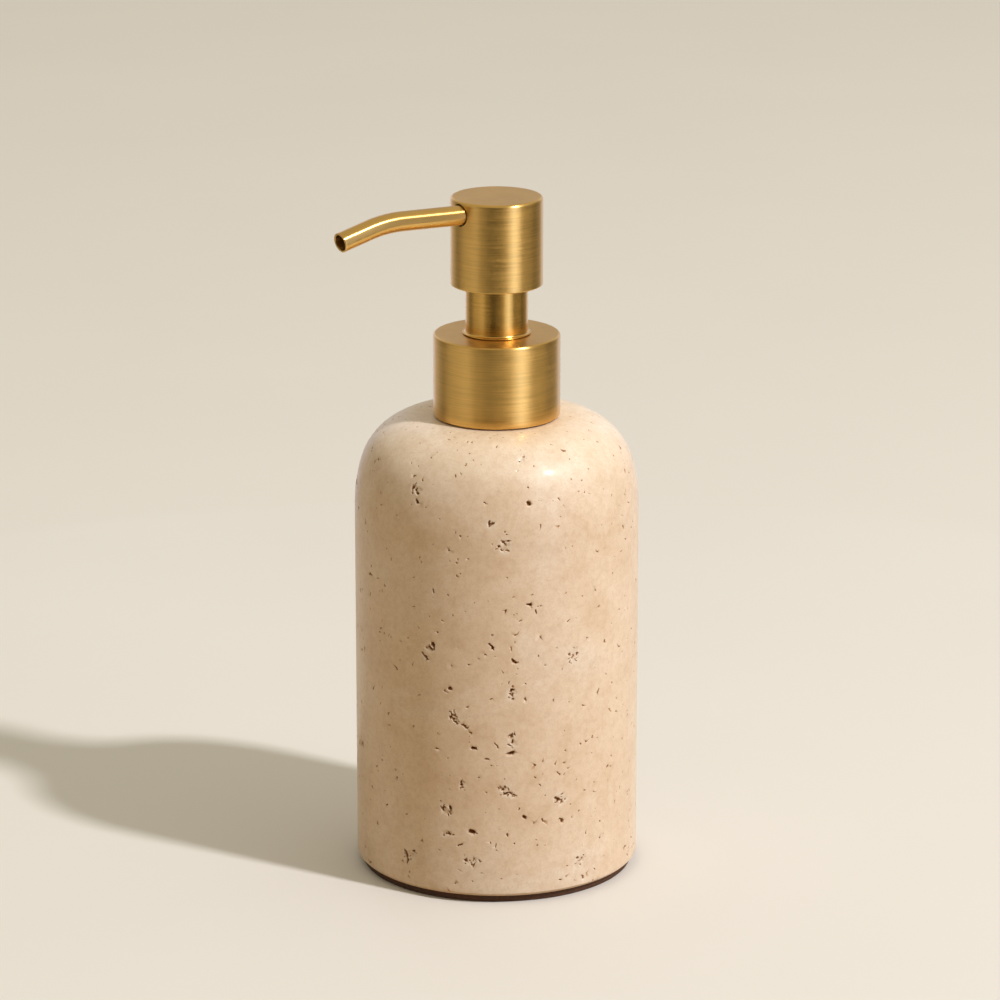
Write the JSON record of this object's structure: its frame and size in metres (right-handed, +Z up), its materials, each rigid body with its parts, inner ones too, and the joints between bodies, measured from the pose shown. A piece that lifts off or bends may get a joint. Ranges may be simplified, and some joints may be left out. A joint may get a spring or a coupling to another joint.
{
  "type": "soap pump dispenser",
  "caption": "Countertop soap dispenser: a round-shouldered stone bottle under a screw-on metal pump with a press-down head and a slim bent spout.",
  "frame": {"origin": "centre of the base pad's underside, on the pump axis", "axes": "+Z up along the pump axis; the spout points along -Y at rest"},
  "size_m": [0.075, 0.0878, 0.1819],
  "materials": {
    "travertine": "honed, pitted",
    "brown_pad": "matte",
    "ivory_plastic": "moulded",
    "white_rubber": "matte",
    "natural_plastic": "moulded, milky",
    "stainless_steel": "polished",
    "tube_plastic": "extruded",
    "polished_brass": "polished",
    "white_plastic": "moulded",
    "brushed_brass": "brushed satin",
    "seal_plastic": "soft moulded"
  },
  "bodies": {
    "bottle": {"stone_body": "travertine", "base_plug": "travertine", "base_pad": "brown_pad", "neck_insert": "ivory_plastic"},
    "pump_unit": {"neck_gasket": "white_rubber", "pump_housing": "natural_plastic", "ball_cage": "natural_plastic", "dip_tube": "tube_plastic", "return_spring": "stainless_steel", "stem_guide": "white_plastic", "neck_sleeve": "polished_brass"},
    "collar": {"closure": "white_plastic", "collar_shell": "brushed_brass"},
    "piston": {"piston_seal": "seal_plastic"},
    "head": {"piston_rod": "white_plastic", "stem": "white_plastic", "head_insert": "white_plastic", "head_shell": "brushed_brass", "spout": "polished_brass"},
    "inlet_ball": {"inlet_ball": "stainless_steel"}
  },
  "joints": [
    {"name": "thread_lift", "type": "slide", "parent": "bottle", "child": "pump_unit", "axis": [0, 0, 1], "range_m": [0, 0.00635]},
    {"name": "collar_turn", "type": "hinge", "parent": "pump_unit", "child": "collar", "pos_m": [0, 0, 0.1345], "axis": [0, 0, 1], "range_deg": [0, 540]},
    {"name": "pump_stroke", "type": "slide", "parent": "pump_unit", "child": "piston", "axis": [0, 0, 1], "range_m": [-0.012, 0], "stiffness_N_per_m": 1000, "springref_m": 0.01, "deforming": ["return_spring"]},
    {"name": "head_swivel", "type": "hinge", "parent": "piston", "child": "head", "pos_m": [0, 0, 0.17], "axis": [0, 0, 1], "continuous": true},
    {"name": "inlet_ball_lift", "type": "slide", "parent": "pump_unit", "child": "inlet_ball", "axis": [0, 0, 1], "range_m": [0, 0.0015]}
  ],
  "couplings": [
    {"joint": "collar_turn", "follows": "thread_lift", "rad_per_m": 1484.2}
  ]
}
